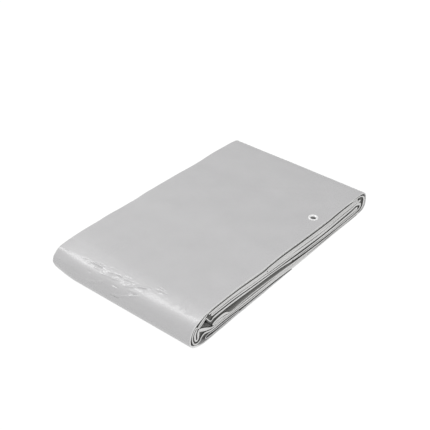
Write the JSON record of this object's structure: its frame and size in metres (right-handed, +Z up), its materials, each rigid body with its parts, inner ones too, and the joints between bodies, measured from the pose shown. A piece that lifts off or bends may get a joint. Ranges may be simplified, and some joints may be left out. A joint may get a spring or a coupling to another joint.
{
  "type": "folded tarp",
  "caption": "Coated woven sheet folded back and forth into a flat packet, one metal eyelet near its edge; unfolds to cover and tie down.",
  "frame": {"origin": "centre of the packet's underside, on the surface it lies on", "axes": "+X along the packet from its big rolled fold to its small fold, +Z up, -Y towards the open layered side with the eyelet"},
  "size_m": [0.4956, 0.3, 0.0573],
  "materials": {
    "coated_cloth": "coated, soft sheen",
    "eyelet_metal": "satin"
  },
  "bodies": {
    "root": {"tarp": "coated_cloth", "eyelet_strip": "coated_cloth", "eyelet": "eyelet_metal"}
  },
  "joints": []
}
